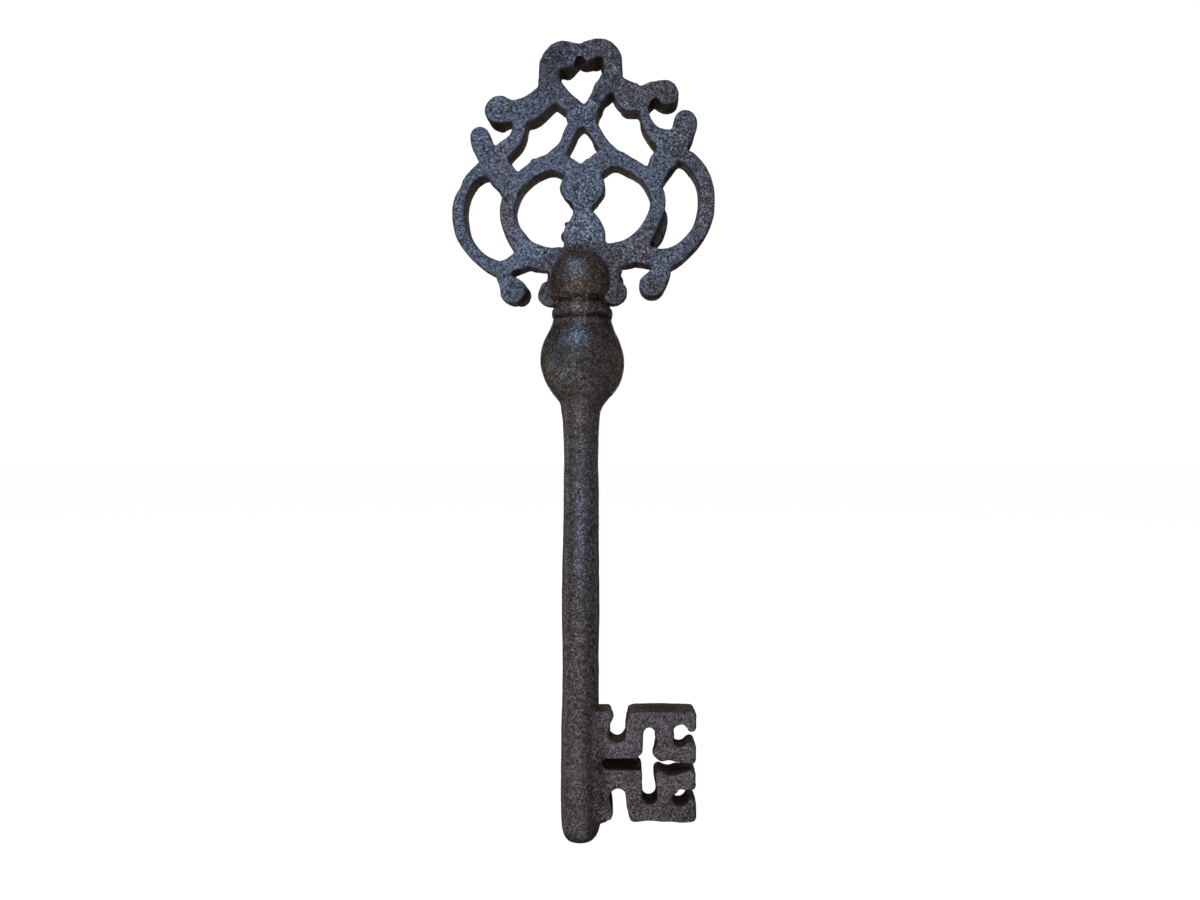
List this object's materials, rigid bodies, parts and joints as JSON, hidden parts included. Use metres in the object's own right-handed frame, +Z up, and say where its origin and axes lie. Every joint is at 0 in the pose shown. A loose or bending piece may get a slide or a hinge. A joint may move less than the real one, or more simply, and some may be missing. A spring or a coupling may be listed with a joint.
{
  "type": "decorative key",
  "caption": "Upright cast-iron show key: openwork bow of crossed straps, oval rings and scrolls, domed head, collar, baluster, long round shank and a flat warded bit.",
  "frame": {"origin": "where a nail holds the key, under the crown on the stem's axis, at mid thickness", "axes": "+Z up along the stem towards the crown, plates in the XZ plane, front faces -Y, the bit reaches towards +X"},
  "size_m": [0.0906, 0.0294, 0.2789],
  "materials": {
    "bow": "sandy as-cast skin, blue-grey with fine light specks",
    "head": "sandy as-cast skin, brown-grey",
    "collar": "sandy as-cast skin, brown-grey",
    "baluster": "sandy as-cast skin, brown-grey with bluish spots",
    "shank": "sandy as-cast skin, brown-grey",
    "bit": "sandy as-cast skin, purplish brown-grey"
  },
  "bodies": {
    "root": {"bow": "bow", "head": "head", "collar": "collar", "baluster": "baluster", "shank": "shank", "bit": "bit"}
  },
  "joints": []
}
